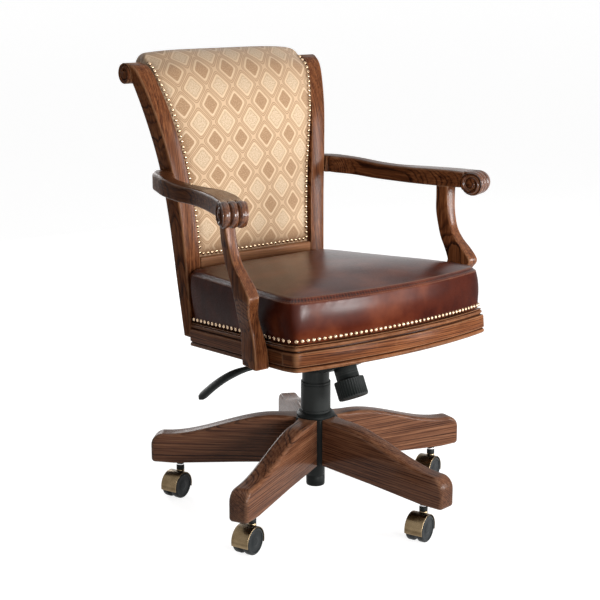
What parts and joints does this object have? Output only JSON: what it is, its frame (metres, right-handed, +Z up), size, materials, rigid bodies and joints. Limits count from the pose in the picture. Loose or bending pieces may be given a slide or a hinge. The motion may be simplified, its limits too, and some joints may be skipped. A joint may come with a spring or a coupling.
{
  "type": "swivel and tilt game-room armchair",
  "caption": "Wooden swivel armchair with a star base on casters, gas column, tilting leather seat, fabric back between scrolled posts and scrolled arms.",
  "frame": {"origin": "point on the floor under the swivel axis, in the middle of the five casters", "axes": "+Z up along the swivel axis, the sitter looks along -Y, the sitter's left is +X"},
  "size_m": [0.7018, 0.7331, 0.945],
  "materials": {
    "walnut": "satin",
    "plywood": "matte",
    "burnished_leather": "satin",
    "gold_damask": "matte",
    "nail_brass": "satin",
    "antique_brass": "satin",
    "black_metal": "satin",
    "black_plastic": "matte",
    "steel": "satin"
  },
  "bodies": {
    "base": {"leg_1": "walnut", "leg_2": "walnut", "leg_3": "walnut", "leg_4": "walnut", "leg_5": "walnut", "base_hub": "black_metal", "gas_cylinder": "black_metal", "column_cover_lower": "black_plastic", "caster_stem_1": "black_metal", "caster_stem_2": "black_metal", "caster_stem_3": "black_metal", "caster_stem_4": "black_metal", "caster_stem_5": "black_metal"},
    "lift": {"gas_piston": "steel", "column_cover_upper": "black_plastic"},
    "swivel": {"mechanism_housing": "black_metal", "tilt_shaft": "steel", "tension_spring": "steel"},
    "seat": {"tilt_plate": "black_metal", "seat_deck": "plywood", "seat_front_rail": "walnut", "seat_left_rail": "walnut", "seat_right_rail": "walnut", "seat_rear_rail": "walnut", "seat_cushion": "burnished_leather", "seat_nail_trim": "nail_brass", "back_post_left": "walnut", "back_post_right": "walnut", "back_lower_rail": "walnut", "back_crest_rail": "walnut", "back_pad": "gold_damask", "back_panel": "gold_damask", "back_nail_trim": "nail_brass", "arm_left": "walnut", "arm_right": "walnut", "arm_support_left": "walnut", "arm_support_right": "walnut"},
    "knob": {"tension_knob": "black_plastic", "tension_screw": "steel"},
    "lever": {"lift_lever": "black_plastic"},
    "caster_1": {"caster_hood_1": "antique_brass", "caster_axle_1": "steel"},
    "caster_2": {"caster_hood_2": "antique_brass", "caster_axle_2": "steel"},
    "caster_3": {"caster_hood_3": "antique_brass", "caster_axle_3": "steel"},
    "caster_4": {"caster_hood_4": "antique_brass", "caster_axle_4": "steel"},
    "caster_5": {"caster_hood_5": "antique_brass", "caster_axle_5": "steel"},
    "wheel_left_1": {"caster_wheel_left_1": "black_plastic"},
    "wheel_left_2": {"caster_wheel_left_2": "black_plastic"},
    "wheel_left_3": {"caster_wheel_left_3": "black_plastic"},
    "wheel_left_4": {"caster_wheel_left_4": "black_plastic"},
    "wheel_left_5": {"caster_wheel_left_5": "black_plastic"},
    "wheel_right_1": {"caster_wheel_right_1": "black_plastic"},
    "wheel_right_2": {"caster_wheel_right_2": "black_plastic"},
    "wheel_right_3": {"caster_wheel_right_3": "black_plastic"},
    "wheel_right_4": {"caster_wheel_right_4": "black_plastic"},
    "wheel_right_5": {"caster_wheel_right_5": "black_plastic"}
  },
  "joints": [
    {"name": "height", "type": "slide", "parent": "base", "child": "lift", "axis": [0, 0, 1], "range_m": [-0.02, 0.08]},
    {"name": "swivel", "type": "hinge", "parent": "lift", "child": "swivel", "pos_m": [0, 0, 0.31], "axis": [0, 0, 1], "continuous": true},
    {"name": "tilt", "type": "hinge", "parent": "swivel", "child": "seat", "pos_m": [0, -0.04, 0.345], "axis": [-1, 0, 0], "range_deg": [0, 14], "stiffness_Nm_per_rad": 60, "springref_deg": -28.65},
    {"name": "tension", "type": "hinge", "parent": "swivel", "child": "knob", "pos_m": [0, -0.0945, 0.318], "axis": [0, -0.454, -0.891], "range_deg": [-720, 720]},
    {"name": "lift_lever", "type": "hinge", "parent": "swivel", "child": "lever", "pos_m": [-0.033, 0, 0.326], "axis": [0, 1, 0], "range_deg": [0, 5], "stiffness_Nm_per_rad": 4, "springref_deg": -11.46},
    {"name": "caster_swivel_1", "type": "hinge", "parent": "base", "child": "caster_1", "pos_m": [-0.20455, 0.21256, 0.055], "axis": [0, 0, 1], "continuous": true},
    {"name": "caster_swivel_2", "type": "hinge", "parent": "base", "child": "caster_2", "pos_m": [-0.26537, -0.12886, 0.055], "axis": [0, 0, 1], "continuous": true},
    {"name": "caster_swivel_3", "type": "hinge", "parent": "base", "child": "caster_3", "pos_m": [0.04055, -0.2922, 0.055], "axis": [0, 0, 1], "continuous": true},
    {"name": "caster_swivel_4", "type": "hinge", "parent": "base", "child": "caster_4", "pos_m": [0.29043, -0.05173, 0.055], "axis": [0, 0, 1], "continuous": true},
    {"name": "caster_swivel_5", "type": "hinge", "parent": "base", "child": "caster_5", "pos_m": [0.13895, 0.26023, 0.055], "axis": [0, 0, 1], "continuous": true},
    {"name": "roll_left_1", "type": "hinge", "parent": "caster_1", "child": "wheel_left_1", "pos_m": [-0.21869, 0.20755, 0.02716], "axis": [-0.3338, 0.9426, 0], "continuous": true},
    {"name": "roll_left_2", "type": "hinge", "parent": "caster_2", "child": "wheel_left_2", "pos_m": [-0.27951, -0.13386, 0.02716], "axis": [-0.3338, 0.9426, 0], "continuous": true},
    {"name": "roll_left_3", "type": "hinge", "parent": "caster_3", "child": "wheel_left_3", "pos_m": [0.02641, -0.29721, 0.02716], "axis": [-0.3338, 0.9426, 0], "continuous": true},
    {"name": "roll_left_4", "type": "hinge", "parent": "caster_4", "child": "wheel_left_4", "pos_m": [0.27629, -0.05674, 0.02716], "axis": [-0.3338, 0.9426, 0], "continuous": true},
    {"name": "roll_left_5", "type": "hinge", "parent": "caster_5", "child": "wheel_left_5", "pos_m": [0.12481, 0.25522, 0.02716], "axis": [-0.3338, 0.9426, 0], "continuous": true},
    {"name": "roll_right_1", "type": "hinge", "parent": "caster_1", "child": "wheel_right_1", "pos_m": [-0.21869, 0.20755, 0.02716], "axis": [-0.3338, 0.9426, 0], "continuous": true},
    {"name": "roll_right_2", "type": "hinge", "parent": "caster_2", "child": "wheel_right_2", "pos_m": [-0.27951, -0.13386, 0.02716], "axis": [-0.3338, 0.9426, 0], "continuous": true},
    {"name": "roll_right_3", "type": "hinge", "parent": "caster_3", "child": "wheel_right_3", "pos_m": [0.02641, -0.29721, 0.02716], "axis": [-0.3338, 0.9426, 0], "continuous": true},
    {"name": "roll_right_4", "type": "hinge", "parent": "caster_4", "child": "wheel_right_4", "pos_m": [0.27629, -0.05674, 0.02716], "axis": [-0.3338, 0.9426, 0], "continuous": true},
    {"name": "roll_right_5", "type": "hinge", "parent": "caster_5", "child": "wheel_right_5", "pos_m": [0.12481, 0.25522, 0.02716], "axis": [-0.3338, 0.9426, 0], "continuous": true}
  ]
}
